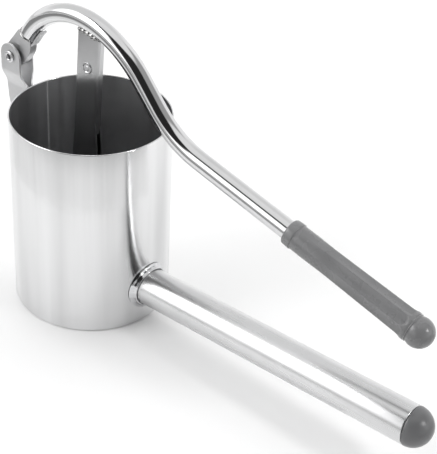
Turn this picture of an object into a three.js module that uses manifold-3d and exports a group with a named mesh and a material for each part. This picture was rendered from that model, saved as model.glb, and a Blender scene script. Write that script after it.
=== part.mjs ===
// A lever potato ricer: a steel cylinder with a fixed handle, and a hinged lever that drives a plunger.
// Units are millimetres and +Z is up. Shapes are drawn about the cylinder's axis, and the whole group
// is then moved along X so that the middle of its length is over the origin.
import * as THREE from "three";
import { mergeVertices } from "three/addons/utils/BufferGeometryUtils.js";
import Module from "manifold-3d";

const wasm = await Module();
wasm.setup();

// ---- driving dimensions ----
const GAP = 0.3; // between pieces that touch on the real ricer

const CYLINDER = { radius: 42.5, wall: 0.8, height: 110.2, lipRadius: 39.5, lipThickness: 0.8 };
const DISC = { radius: 41.3, bottom: 1.1, thickness: 1.0, pitch: 6.8, holeRadius: 1.9, rings: 5 };

const HANDLE = { radius: 10.25, wall: 1.2, axisHeight: 19.56, rise: THREE.MathUtils.degToRad(2.63) };
const HANDLE_SEAM = 209.8; // along the handle's own axis, from the cylinder's axis
const PLUG = { centre: 210.2, spigotRadius: 8.7, spigotStart: 198 };

const PIVOT = { x: -55.5, z: 123.5 };
const PIVOT_HOLE = 2.5;
const SHANK = 2.2;

const LEAF = { thickness: 1.2, earFace: 4.95, stemFace: 1.35, headRadius: 7.2 };
const CHEEK = { face: 2.3, inside: 1.2, endRadius: 6.6 };

const LEVER_RADIUS = 5;
const LEVER_BORE = 3.5;
const LEVER_START = { x: -45.34, z: 137.63, heading: THREE.MathUtils.degToRad(61.5) };
// Each bend is a length along the tube and a radius; a positive radius turns upwards.
const LEVER_BENDS = [
  { length: 62.1, radius: -45.5 },
  { length: 32.7, radius: -59.1 },
  { length: 15.4, radius: Infinity },
  { length: 33.8, radius: 55.5 },
];
const LEVER_END_X = 200.6;

const GRIP_START_X = 130;
const GRIP_BORE = 5.3;
const GRIP_FLUTES = 6;
const GRIP_DOME = { x: 204.3, radius: 7.4 };

const HANGER = { face: 2.2, sheet: 1.0, halfWidth: 7.4, slope: 0.066, topZ: 160, webBottom: 99.5 };
const EAR_RADIUS = 8.8;
const HANGER_RIVET = { x: -0.4, z: 136.3 };
const PIN = { x: -3, z: 75 };

const YOKE = { earFace: 4.2, thickness: 1.2, halfWidth: 8, bottom: 12, slotLeft: -9.2, slotRight: 18.5 };
const SLOT_RADIUS = 4.2;
const PLATE = { radius: 40.9, thickness: 1.2, bottom: 10.5, rimTop: 16.5 };
const YOKE_RIVET_X = 4.5;

const CENTRE_X = (HANDLE.radius + PLUG.centre * Math.cos(HANDLE.rise) + PIVOT.x - LEAF.headRadius) / 2;

// ---- materials ----
const steel = (name, color, roughness) =>
  new THREE.MeshStandardMaterial({ name, color, roughness, metalness: 1 });
const plastic = (name, color) =>
  new THREE.MeshStandardMaterial({ name, color, roughness: 0.45, metalness: 0 });

// ---- solids ----
function toSolid(geometry) {
  const bare = geometry.clone();
  bare.deleteAttribute("normal");
  bare.deleteAttribute("uv");
  const merged = mergeVertices(bare, 1e-4);
  return new wasm.Manifold(
    new wasm.Mesh({
      numProp: 3,
      vertProperties: merged.attributes.position.array,
      triVerts: new Uint32Array(merged.index.array),
    }),
  );
}

function fromSolid(solid) {
  const mesh = solid.getMesh();
  const geometry = new THREE.BufferGeometry();
  geometry.setAttribute("position", new THREE.BufferAttribute(new Float32Array(mesh.vertProperties), 3));
  geometry.setIndex(new THREE.BufferAttribute(new Uint32Array(mesh.triVerts), 1));
  return withNormals(geometry);
}

function withNormals(geometry) {
  const flat = geometry.index ? geometry.toNonIndexed() : geometry;
  flat.computeVertexNormals();
  return flat;
}

// A solid turned about Z. The profile's points are [radius, z], anticlockwise with the radius to the right.
function turned(profile, segments) {
  const points = profile.map(([radius, z]) => new THREE.Vector2(radius, z));
  return new THREE.LatheGeometry(points, segments).rotateX(Math.PI / 2);
}

// The same, about a line along Y at (x, z). The profile's second number is y.
function turnedAlongY(profile, segments, { x, z }) {
  return turned(profile, segments).rotateX(-Math.PI / 2).translate(x, 0, z);
}

// An outline in the XZ plane, extruded from y = low to y = high.
function plateXZ(outline, low, high) {
  const shape = new THREE.Shape(outline.map(([x, z]) => new THREE.Vector2(x, z)));
  return new THREE.ExtrudeGeometry(shape, { depth: high - low, bevelEnabled: false })
    .rotateX(Math.PI / 2)
    .translate(0, high, 0);
}

// An outline in the YZ plane, extruded from x = low to x = high.
function plateYZ(outline, low, high) {
  const shape = new THREE.Shape(outline.map(([y, z]) => new THREE.Vector2(y, z)));
  return new THREE.ExtrudeGeometry(shape, { depth: high - low, bevelEnabled: false })
    .rotateX(Math.PI / 2)
    .rotateZ(Math.PI / 2)
    .translate(low, 0, 0);
}

// Skins a row of equal rings of points. A looped row joins its last ring to its first; an open one is capped.
function loft(rings, looped) {
  const count = rings[0].length;
  const positions = rings.flat(2);
  const index = [];
  const pairs = looped ? rings.length : rings.length - 1;
  for (let i = 0; i < pairs; i++) {
    const a = i * count;
    const b = ((i + 1) % rings.length) * count;
    for (let j = 0; j < count; j++) {
      const k = (j + 1) % count;
      index.push(a + j, a + k, b + k, a + j, b + k, b + j);
    }
  }
  if (!looped) {
    const middle = (ring) => [0, 1, 2].map((axis) => ring.reduce((sum, p) => sum + p[axis], 0) / count);
    const last = (rings.length - 1) * count;
    positions.push(...middle(rings[0]), ...middle(rings[rings.length - 1]));
    const first = rings.length * count;
    for (let j = 0; j < count; j++) {
      const k = (j + 1) % count;
      index.push(first, j === count - 1 ? 0 : k, j);
      index.push(first + 1, last + j, last + k);
    }
  }
  const geometry = new THREE.BufferGeometry();
  geometry.setAttribute("position", new THREE.BufferAttribute(new Float32Array(positions), 3));
  geometry.setIndex(index);
  return withNormals(geometry);
}

// A ring of points about a station {x, z, heading} in the plane y = 0. radiusAt takes the angle from +Y.
function ringAt(station, radiusAt, count) {
  const ring = [];
  for (let j = 0; j < count; j++) {
    const turn = (2 * Math.PI * j) / count;
    const radius = radiusAt(turn);
    const out = radius * Math.sin(turn);
    ring.push([
      station.x - out * Math.sin(station.heading),
      radius * Math.cos(turn),
      station.z + out * Math.cos(station.heading),
    ]);
  }
  return ring;
}

const arc = (x, z, radius, fromDeg, toDeg, steps) =>
  Array.from({ length: steps + 1 }, (unused, i) => {
    const turn = THREE.MathUtils.degToRad(fromDeg + ((toDeg - fromDeg) * i) / steps);
    return [x + radius * Math.cos(turn), z + radius * Math.sin(turn)];
  });

// ---- the lever's centreline ----
function walk(station, length, radius) {
  const turn = length / radius;
  const heading = station.heading + turn;
  if (radius === Infinity)
    return {
      x: station.x + length * Math.cos(heading),
      z: station.z + length * Math.sin(heading),
      heading,
    };
  return {
    x: station.x + radius * (Math.sin(heading) - Math.sin(station.heading)),
    z: station.z - radius * (Math.cos(heading) - Math.cos(station.heading)),
    heading,
  };
}

function leverStation(distance) {
  let station = LEVER_START;
  let left = distance;
  for (const { length, radius } of LEVER_BENDS) {
    station = walk(station, Math.min(left, length), radius);
    left -= length;
    if (left <= 0) return station;
  }
  return walk(station, left, Infinity);
}

const bentLength = LEVER_BENDS.reduce((sum, bend) => sum + bend.length, 0);
const bendEnd = leverStation(bentLength);
const distanceAtX = (x) => bentLength + (x - bendEnd.x) / Math.cos(bendEnd.heading);
const gripStation = (x) => leverStation(distanceAtX(x));

// Stations from the bracket to x = endX, close together in the bends only.
function leverStations(from, endX, step) {
  const stops = [from];
  let start = 0;
  for (const { length, radius } of LEVER_BENDS) {
    const parts = radius === Infinity ? 1 : Math.ceil(length / step);
    for (let i = 1; i <= parts; i++) {
      const stop = start + (length * i) / parts;
      if (stop > from + 1) stops.push(stop);
    }
    start += length;
  }
  stops.push(distanceAtX(endX));
  return stops.map(leverStation);
}

const group = new THREE.Group();
group.name = "potato_ricer";
group.position.x = -CENTRE_X;

function add(name, geometry, material) {
  const mesh = new THREE.Mesh(geometry, material);
  mesh.name = name;
  group.add(mesh);
}

// ---- basket cylinder and its disc ----
{
  const { radius, wall, height, lipRadius, lipThickness } = CYLINDER;
  const inside = radius - wall;
  const profile = [
    [lipRadius, 0],
    [radius - 0.3, 0],
    [radius, 0.3],
    [radius, height - 0.2],
    [radius - 0.2, height],
    [inside + 0.2, height],
    [inside, height - 0.2],
    [inside, lipThickness],
    [lipRadius, lipThickness],
    [lipRadius, 0],
  ];
  add("basket_cylinder", turned(profile, 72), steel("cylinder steel", 0xd4d5d7, 0.18));
}

{
  const disc = new THREE.Shape().absarc(0, 0, DISC.radius, 0, 2 * Math.PI);
  for (let row = -DISC.rings; row <= DISC.rings; row++) {
    const inRow = 2 * DISC.rings + 1 - Math.abs(row);
    for (let i = 0; i < inRow; i++) {
      const x = (i - (inRow - 1) / 2) * DISC.pitch;
      const y = row * DISC.pitch * Math.sin(Math.PI / 3);
      const hole = new THREE.Path();
      for (let k = 0; k < 6; k++) {
        const turn = (-k * Math.PI) / 3;
        const px = x + DISC.holeRadius * Math.cos(turn);
        const py = y + DISC.holeRadius * Math.sin(turn);
        if (k) hole.lineTo(px, py);
        else hole.moveTo(px, py);
      }
      hole.closePath();
      disc.holes.push(hole);
    }
  }
  const options = { depth: DISC.thickness, bevelEnabled: false, curveSegments: 64 };
  const geometry = new THREE.ExtrudeGeometry(disc, options).translate(0, 0, DISC.bottom);
  add("perforated_disc", geometry, steel("disc steel", 0xc9cacc, 0.3));
}

// ---- fixed handle ----
// Turns a solid made about Z, with z as the distance from the cylinder's axis, onto the handle's axis.
const ontoHandle = (geometry) =>
  geometry.rotateY(Math.PI / 2 - HANDLE.rise).translate(0, 0, HANDLE.axisHeight);

{
  const bore = HANDLE.radius - HANDLE.wall;
  const profile = [
    [bore, 36],
    [HANDLE.radius, 36],
    [HANDLE.radius, HANDLE_SEAM - 0.3],
    [HANDLE.radius - 0.3, HANDLE_SEAM],
    [bore, HANDLE_SEAM],
    [bore, 36],
  ];
  const cutRadius = CYLINDER.radius + GAP;
  const cut = [
    [0, -10],
    [cutRadius, -10],
    [cutRadius, 60],
    [0, 60],
  ];
  const tube = toSolid(ontoHandle(turned(profile, 28))).subtract(toSolid(turned(cut, 96)));
  add("handle_tube", fromSolid(tube), steel("handle steel", 0xd6d7d9, 0.16));
}

{
  const shoulder = HANDLE_SEAM + GAP;
  const dome = arc(0, PLUG.centre, HANDLE.radius, 0, 90, 7).slice(0, -1);
  const profile = [
    [0, PLUG.spigotStart],
    [PLUG.spigotRadius - 0.6, PLUG.spigotStart],
    [PLUG.spigotRadius, PLUG.spigotStart + 0.6],
    [PLUG.spigotRadius, shoulder],
    ...dome,
    [0, PLUG.centre + HANDLE.radius],
  ];
  dome[0][1] = shoulder;
  add("handle_end_plug", ontoHandle(turned(profile, 28)), plastic("plug plastic", 0x5c5d60));
}

// The collar is a fillet that follows the cylinder all round the tube.
// Each number pair is a radius from the handle's axis and a distance out from the cylinder.
{
  const section = [
    [10.6, 0.35],
    [13.6, 0.35],
    [12.9, 0.7],
    [12.1, 1.3],
    [11.6, 2.2],
    [11.4, 3.3],
    [10.6, 3.3],
  ];
  const around = 36;
  const rings = section.map(([radius, out]) => {
    const ring = [];
    for (let j = 0; j < around; j++) {
      const turn = (2 * Math.PI * j) / around;
      const y = radius * Math.cos(turn);
      const up = radius * Math.sin(turn);
      const x = Math.sqrt((CYLINDER.radius + out) ** 2 - y * y);
      const z = HANDLE.axisHeight + x * Math.tan(HANDLE.rise) + up / Math.cos(HANDLE.rise);
      ring.push([x, y, z]);
    }
    return ring;
  });
  add("handle_collar", loft(rings, true), steel("collar steel", 0xd2d3d5, 0.2));
}

// ---- clevis ----
// Half of the joggled strip's section in the YZ plane, on the +Y side.
function leafSection() {
  const { thickness, earFace, stemFace } = LEAF;
  const joggleTop = 115.2;
  const joggleBottom = 104.4;
  const faces = [[stemFace, 55]];
  const steps = 8;
  for (let i = 0; i <= steps; i++) {
    const part = i / steps;
    const ease = (1 - Math.cos(Math.PI * part)) / 2;
    faces.push([
      stemFace + (earFace - stemFace) * ease,
      joggleBottom + (joggleTop - joggleBottom) * part,
    ]);
  }
  faces.push([earFace, 135]);
  const inner = faces.map(([y, z], i) => {
    const slope = i > 0 && i < faces.length - 1 ? Math.sin((Math.PI * (i - 1)) / steps) * 0.5 : 0;
    return [y - thickness, z + slope * thickness];
  });
  return [...faces, ...inner.reverse()];
}

{
  const wallX = -(CYLINDER.radius + GAP);
  const outline = [
    ...arc(PIVOT.x, PIVOT.z, LEAF.headRadius, 0, 180, 14),
    [PIVOT.x - LEAF.headRadius, 104],
    [-62.2, 97],
    [-60.4, 88],
    [-57, 78],
    [-52.6, 69.5],
    [-47.6, 63],
    [wallX - 0.6, 60],
    [wallX, 60],
    [wallX, 104.6],
    [-44.4, 105.8],
    [-46.6, 108.2],
    [-47.9, 111.4],
    [PIVOT.x + LEAF.headRadius, 115.5],
  ];
  const bore = [
    [0, -8],
    [PIVOT_HOLE, -8],
    [PIVOT_HOLE, 8],
    [0, 8],
  ];
  const hole = toSolid(turnedAlongY(bore, 20, PIVOT));
  const far = toSolid(plateYZ(leafSection(), -70, -40))
    .intersect(toSolid(plateXZ(outline, -8, 8)))
    .subtract(hole);
  const near = far.mirror([0, 1, 0]);
  add("clevis_leaf_near", fromSolid(near), steel("near leaf steel", 0xbfc0c2, 0.3));
  add("clevis_leaf_far", fromSolid(far), steel("far leaf steel", 0xbfc0c2, 0.3));
}

// A weld bead along a straight or bent row of points, with the ripples the torch leaves.
function bead(points, radius, ripple, sides) {
  const rings = points.map(([x, y, z, heading], i) => {
    const end = i === 0 || i === points.length - 1;
    const size = end ? radius * 0.5 : radius * (1 + (i % 2 ? ripple : -ripple));
    const ring = [];
    for (let j = 0; j < sides; j++) {
      const turn = (2 * Math.PI * j) / sides;
      const out = size * Math.sin(turn);
      ring.push([x - out * Math.sin(heading), y + size * Math.cos(turn), z + out * Math.cos(heading)]);
    }
    return ring;
  });
  return loft(rings, false);
}

{
  const radius = 1.1;
  const y = LEAF.stemFace + GAP + radius * 1.1;
  const x = -(CYLINDER.radius + GAP + radius * 1.1);
  for (const [side, name] of [
    [-1, "near"],
    [1, "far"],
  ]) {
    const points = [];
    for (let i = 0; i <= 14; i++) points.push([x, side * y, 62 + 2.9 * i, Math.PI / 2]);
    const material = steel("clevis weld " + name, 0x9a9b9d, 0.45);
    add("clevis_weld_" + name, bead(points, radius, 0.1, 8), material);
  }
}

{
  const head = LEAF.earFace + GAP;
  const profile = [
    [1.3, -head - 0.6],
    [2.1, -head - 0.9],
    [3.0, -head - 0.7],
    [3.3, -head - 0.35],
    [3.3, -head],
    [SHANK, -head],
    [SHANK, head],
    [3.3, head],
    [3.3, head + 0.35],
    [3.0, head + 0.7],
    [2.1, head + 0.9],
    [1.3, head + 0.6],
    [1.3, -head - 0.6],
  ];
  add("pivot_rivet", turnedAlongY(profile, 24, PIVOT), steel("rivet steel", 0xc4c5c7, 0.22));
}

// ---- lever bracket ----
// A strip of the tube's surroundings, between two distances below its centreline.
function underTube(fromDistance, toDistance, near, far, steps) {
  const inner = [];
  const outer = [];
  for (let i = 0; i <= steps; i++) {
    const station = leverStation(fromDistance + ((toDistance - fromDistance) * i) / steps);
    const below = (depth) => [
      station.x + depth * Math.sin(station.heading),
      station.z - depth * Math.cos(station.heading),
    ];
    inner.push(below(near));
    outer.push(below(far));
  }
  return { inner, outer };
}

{
  const { face, inside, endRadius } = CHEEK;
  const outline = [
    ...arc(PIVOT.x, PIVOT.z, endRadius, 143, 307, 16),
    [-49.3, 119.9],
    [-47.5, 121.9],
    [-45.8, 124.2],
    [-44.2, 126.6],
    [-42.9, 128.9],
    [-42.35, 131.3],
    [-42.0, 133.8],
    [-42.1, 135.5],
    [-50.8, 139.9],
  ];
  const cavity = [
    [-56.5, 115.4],
    [-50.2, 120.5],
    [-48.4, 122.6],
    [-46.7, 124.8],
    [-45.1, 127.2],
    [-43.9, 129.3],
    [-43.45, 131.4],
    [-43.1, 133.8],
    [-43.3, 135.6],
    [-43.9, 141],
    [-75, 141],
    [-75, 115.4],
  ];
  const { inner, outer } = underTube(0.6, 12, LEVER_RADIUS + GAP, LEVER_RADIUS + GAP + 1.15, 5);
  const tongue = [[-43.4, 132.7], [-42.8, 132.1], ...outer, ...inner.reverse()];
  const bore = [
    [0, -8],
    [PIVOT_HOLE, -8],
    [PIVOT_HOLE, 8],
    [0, 8],
  ];
  const bracket = toSolid(plateXZ(outline, -face, face))
    .subtract(toSolid(plateXZ(cavity, -inside, inside)))
    .add(toSolid(plateXZ(tongue, -2.1, 2.1)))
    .subtract(toSolid(turnedAlongY(bore, 20, PIVOT)));
  add("lever_bracket", fromSolid(bracket), steel("bracket steel", 0xb4b5b7, 0.32));
}

{
  const half = CHEEK.inside - GAP;
  const profile = [
    [PIVOT_HOLE, -half],
    [PIVOT_HOLE, half],
    [3.3, half],
    [3.3, -half],
    [PIVOT_HOLE, -half],
  ];
  add("pivot_bush", turnedAlongY(profile.reverse(), 20, PIVOT), steel("bush steel", 0xb9babc, 0.35));
}

// ---- lever tube ----
{
  const sides = 20;
  const stations = leverStations(0.7, LEVER_END_X, 5.8);
  const outer = stations.map((station) => ringAt(station, () => LEVER_RADIUS, sides));
  const inner = stations.map((station) => ringAt(station, () => LEVER_BORE, sides));
  add("lever_tube", loft([...outer, ...inner.reverse()], true), steel("lever steel", 0xd3d4d6, 0.16));
}

// A bead most of the way round the tube's end, open where the bracket's tongue runs.
{
  const station = leverStation(2.0);
  const centre = LEVER_RADIUS + GAP + 0.9;
  const sides = 8;
  const rings = [];
  const steps = 26;
  for (let i = 0; i <= steps; i++) {
    const turn = THREE.MathUtils.degToRad(-52 + (284 * i) / steps);
    const end = i === 0 || i === steps;
    const size = end ? 0.45 : i % 2 ? 0.88 : 0.72;
    const ring = [];
    for (let j = 0; j < sides; j++) {
      const around = (-2 * Math.PI * j) / sides;
      const radius = centre + size * Math.cos(around);
      const along = size * Math.sin(around);
      const out = radius * Math.sin(turn);
      ring.push([
        station.x - out * Math.sin(station.heading) + along * Math.cos(station.heading),
        radius * Math.cos(turn),
        station.z + out * Math.cos(station.heading) + along * Math.sin(station.heading),
      ]);
    }
    rings.push(ring);
  }
  add("lever_bracket_weld", loft(rings, false), steel("bracket weld", 0x9fa0a2, 0.4));
}

// ---- grip ----
{
  const around = 36;
  const fluted = (radius, depth) => (turn) =>
    radius - depth * (0.5 + 0.5 * Math.cos(GRIP_FLUTES * (turn - Math.PI / 2)));
  const sleeve = [
    [GRIP_START_X, 6.1, 0],
    [GRIP_START_X + 0.5, 6.55, 0],
    [GRIP_START_X + 4.4, 6.8, 0],
    [GRIP_START_X + 4.9, 6.6, 0],
    [GRIP_START_X + 5.3, 6.2, 0],
    [GRIP_START_X + 6.6, 6.45, 0],
    [GRIP_START_X + 12, 6.55, 0.25],
    [150, 6.75, 0.5],
    [165, 6.95, 0.62],
    [180, 7.15, 0.68],
    [192, 7.28, 0.7],
    [196.5, 7.33, 0.6],
    [198.6, 7.36, 0.2],
    [200, 7.38, 0],
    [200.4, 7.0, 0],
    [201, 7.0, 0],
    [201.4, 7.35, 0],
  ];
  const rings = [
    ringAt(gripStation(LEVER_END_X + 0.5), () => GRIP_BORE, around),
    ringAt(gripStation(GRIP_START_X), () => GRIP_BORE, around),
  ];
  for (const [x, radius, depth] of sleeve) rings.push(ringAt(gripStation(x), fluted(radius, depth), around));
  const centre = distanceAtX(GRIP_DOME.x);
  for (let i = 0; i <= 8; i++) {
    const rise = THREE.MathUtils.degToRad(-12 + (98 * i) / 8);
    const station = leverStation(centre + GRIP_DOME.radius * Math.sin(rise));
    rings.push(ringAt(station, () => GRIP_DOME.radius * Math.cos(rise), around));
  }
  add("lever_grip", loft(rings, false), plastic("grip plastic", 0x8b8c8f));
}

// ---- hanger ----
const hangerX = (z) => -2.7 + HANGER.slope * (z - 97);

{
  const { face, sheet, halfWidth, topZ, webBottom } = HANGER;
  const left = PIN.x - EAR_RADIUS;
  const right = PIN.x + EAR_RADIUS;
  const outline = [
    [hangerX(topZ) - halfWidth, topZ],
    [hangerX(106) - halfWidth, 106],
    [left + 1.9, 99],
    [left + 0.9, 92],
    [left + 0.2, 85],
    ...arc(PIN.x, PIN.z, EAR_RADIUS, 176, 364, 16),
    [right - 0.1, 92],
    [right - 0.5, 100],
    [hangerX(106) + halfWidth, 106],
    [hangerX(topZ) + halfWidth, topZ],
  ];
  const webInside = halfWidth - sheet;
  const cavity = [
    [hangerX(topZ + 5) + webInside, topZ + 5],
    [PIN.x - 20, topZ + 5],
    [PIN.x - 20, PIN.z - 12],
    [PIN.x + 20, PIN.z - 12],
    [PIN.x + 20, webBottom],
    [hangerX(webBottom) + webInside, webBottom],
  ];
  const inside = face - sheet;
  const bore = (radius) => [
    [0, -8],
    [radius, -8],
    [radius, 8],
    [0, 8],
  ];
  const sides = 20;
  const clearance = leverStations(0, 60, 5).map((s) => ringAt(s, () => LEVER_RADIUS + GAP, sides));
  const hanger = toSolid(plateXZ(outline, -face, face))
    .subtract(toSolid(plateXZ(cavity, -inside, inside)))
    .subtract(toSolid(loft(clearance, false)))
    .subtract(toSolid(turnedAlongY(bore(PIVOT_HOLE), 20, PIN)))
    .subtract(toSolid(turnedAlongY(bore(2.3), 20, HANGER_RIVET)));
  add("hanger_channel", fromSolid(hanger), steel("hanger steel", 0xb6b7b9, 0.3));
}

// Beads along both sides of the hanger's saddle, under the tube.
for (const [side, name] of [
  [-1, "near"],
  [1, "far"],
]) {
  const points = [];
  const from = 47.5;
  const to = 63;
  const steps = 10;
  for (let i = 0; i <= steps; i++) {
    const station = leverStation(from + ((to - from) * i) / steps);
    const depth = LEVER_RADIUS + 0.35;
    points.push([
      station.x + depth * Math.sin(station.heading),
      side * (HANGER.face + GAP + 0.95),
      station.z - depth * Math.cos(station.heading),
      station.heading,
    ]);
  }
  const material = steel("hanger weld " + name, 0xa3a4a6, 0.4);
  add("hanger_weld_" + name, bead(points, 0.9, 0.12, 8), material);
}

{
  const head = HANGER.face + GAP;
  const profile = [
    [0, -head - 0.6],
    [2.5, -head - 0.6],
    [3, -head - 0.4],
    [3.2, -head],
    [2, -head],
    [2, head],
    [3.2, head],
    [3, head + 0.4],
    [2.5, head + 0.6],
    [0, head + 0.6],
  ];
  add("hanger_rivet", turnedAlongY(profile, 20, HANGER_RIVET), steel("hanger rivet steel", 0xbcbdbf, 0.25));
}

{
  const half = HANGER.face - HANGER.sheet - GAP;
  const profile = [
    [2.3, half],
    [2.3, -half],
    [3.4, -half],
    [3.4, half],
    [2.3, half],
  ];
  add("hanger_spacer", turnedAlongY(profile, 20, HANGER_RIVET), steel("spacer steel", 0xb0b1b3, 0.35));
}

{
  const head = YOKE.earFace + GAP;
  const profile = [
    [0, -head - 1.2],
    [3.4, -head - 1.1],
    [4.8, -head - 0.7],
    [5.4, -head],
    [SHANK, -head],
    [SHANK, head],
    [5.4, head],
    [4.8, head + 0.7],
    [3.4, head + 1.1],
    [0, head + 1.2],
  ];
  add("plunger_pin", turnedAlongY(profile, 24, PIN), steel("pin steel", 0xbcbdbf, 0.25));
}

// ---- plunger ----
{
  const { earFace, thickness, halfWidth, bottom, slotLeft, slotRight } = YOKE;
  const top = PIN.z;
  const headRadius = SLOT_RADIUS + 2.6;
  const left = slotLeft + SLOT_RADIUS;
  const right = slotRight - SLOT_RADIUS;
  const outline = [
    [-halfWidth, bottom],
    [halfWidth, bottom],
    [halfWidth, top - 14],
    ...arc(right, top, headRadius, -50, 90, 10),
    ...arc(left, top, headRadius, 90, 230, 10),
    [-halfWidth, top - 18],
  ];
  const slot = [...arc(right, top, SLOT_RADIUS, -90, 90, 10), ...arc(left, top, SLOT_RADIUS, 90, 270, 10)];
  const insideFace = earFace - thickness;
  const channel = [
    [-30, bottom + thickness],
    [30, bottom + thickness],
    [30, top + 20],
    [-30, top + 20],
  ];
  const rivetBore = [
    [0, bottom - 1],
    [1.5, bottom - 1],
    [1.5, bottom + 3],
    [0, bottom + 3],
  ];
  let yoke = toSolid(plateXZ(outline, -earFace, earFace))
    .subtract(toSolid(plateXZ(channel, -insideFace, insideFace)))
    .subtract(toSolid(plateXZ(slot, -10, 10)));
  for (const side of [-1, 1])
    yoke = yoke.subtract(toSolid(turned(rivetBore, 16).translate(side * YOKE_RIVET_X, 0, 0)));
  add("plunger_yoke", fromSolid(yoke), steel("yoke steel", 0xb8b9bb, 0.32));
}

{
  const { radius, thickness, bottom, rimTop } = PLATE;
  const top = bottom + thickness;
  const profile = [
    [0, bottom],
    [radius - 4, bottom],
    [radius - 1.6, bottom + 0.8],
    [radius, bottom + 2.8],
    [radius, rimTop],
    [radius - thickness, rimTop],
    [radius - thickness, bottom + 3],
    [radius - 2.4, top + 0.5],
    [radius - 4.4, top],
    [0, top],
  ];
  let plate = toSolid(turned(profile, 64));
  const bore = [
    [0, bottom - 1],
    [2.6, bottom - 1],
    [2.6, bottom],
    [1.5, top - 0.2],
    [1.5, top + 1],
    [0, top + 1],
  ];
  for (const side of [-1, 1])
    plate = plate.subtract(toSolid(turned(bore, 16).translate(side * YOKE_RIVET_X, 0, 0)));
  add("plunger_plate", fromSolid(plate), steel("plate steel", 0xc6c7c9, 0.28));
}

for (const [side, name] of [
  [-1, "left"],
  [1, "right"],
]) {
  const head = YOKE.bottom + YOKE.thickness + GAP;
  const profile = [
    [0, PLATE.bottom],
    [2.2, PLATE.bottom],
    [1.2, PLATE.bottom + 0.9],
    [1.2, head],
    [2.3, head],
    [1.9, head + 0.7],
    [1, head + 1],
    [0, head + 1.05],
  ];
  const geometry = turned(profile, 16).translate(side * YOKE_RIVET_X, 0, 0);
  add("yoke_rivet_" + name, geometry, steel("yoke rivet " + name, 0xbcbdbf, 0.3));
}

export default group;
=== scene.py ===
import math
import random

import bmesh
import bpy
from mathutils import Matrix, Vector

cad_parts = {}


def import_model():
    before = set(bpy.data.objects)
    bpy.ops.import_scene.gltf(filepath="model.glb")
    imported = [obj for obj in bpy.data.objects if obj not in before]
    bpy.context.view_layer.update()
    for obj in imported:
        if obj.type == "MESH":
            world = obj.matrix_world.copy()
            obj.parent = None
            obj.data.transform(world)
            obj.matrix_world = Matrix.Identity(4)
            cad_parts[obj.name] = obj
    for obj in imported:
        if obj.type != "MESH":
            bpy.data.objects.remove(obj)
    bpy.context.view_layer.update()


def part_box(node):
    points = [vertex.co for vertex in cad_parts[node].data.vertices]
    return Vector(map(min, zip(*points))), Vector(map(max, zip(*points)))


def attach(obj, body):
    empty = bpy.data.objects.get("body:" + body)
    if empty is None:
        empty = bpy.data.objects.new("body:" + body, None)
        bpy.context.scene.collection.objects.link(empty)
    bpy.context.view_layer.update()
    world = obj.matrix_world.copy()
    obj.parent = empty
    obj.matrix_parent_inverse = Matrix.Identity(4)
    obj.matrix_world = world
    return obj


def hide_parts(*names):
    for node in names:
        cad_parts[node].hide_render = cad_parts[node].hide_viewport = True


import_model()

MM = 0.001
TAU = 2 * math.pi
low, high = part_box("basket_cylinder")
AXIS = Vector(((low.x + high.x) / 2, 0, 0))  # the cylinder's axis, where it meets the floor

# The ricer's own dimensions, in millimetres about the cylinder's axis.
WALL_OUT, WALL_IN, HEIGHT = 42.5, 41.7, 110.2
LIP_RADIUS, LIP_SHEET = 39.5, 0.8
SEAM_AZIMUTH = math.radians(169.4)
DISC_RADIUS, DISC_BOTTOM, DISC_TOP = 41.3, 1.1, 2.1
HANDLE_RADIUS, HANDLE_Z, HANDLE_RISE = 10.25, 19.56, math.radians(2.63)
HANDLE_SHEET, HANDLE_SEAM, PLUG_CENTRE = 1.2, 209.8, 210.19
PIVOT, PIVOT_HOLE = (-55.5, 123.5), 2.5  # the lever's rivet: x and z, and the radius of its hole
PIN, PIN_HOLE = (-3.0, 75.0), 2.5
EAR_RADIUS, WEB_BOTTOM = 8.8, 99.5
HANGER_FACE, HANGER_HALF, HANGER_SHEET = 2.2, 7.4, 1.0
HANGER_RIVET, HANGER_HOLE = (-0.4, 136.3), 2.3
HANGER_FOOT, HANGER_LEAN = (-2.7, 97.0), 0.066  # x and z low on its middle line, and its slope
LEVER_RADIUS, LEVER_SHEET = 4.95, 1.5
LEVER_START = (-45.34, 137.63, math.radians(61.5))  # x, z and heading
LEVER_BENDS = ((62.1, -45.5), (32.7, -59.1), (15.4, math.inf), (33.8, 55.5))  # length and radius
LEVER_END_X = 200.6
YOKE_FACE, YOKE_SHEET, YOKE_BASE = 4.2, 1.2, 12.0
YOKE_RIVETS = (("left", -4.5), ("right", 4.5))
GRIP_START, GRIP_DOME_X, GRIP_DOME_R = 130.0, 204.3, 7.39
GRIP_BORE, FLUTE_COUNT, FLUTE_END = 5.25, 8, 199.2


# ---------------------------------------------------------------- materials

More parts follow.
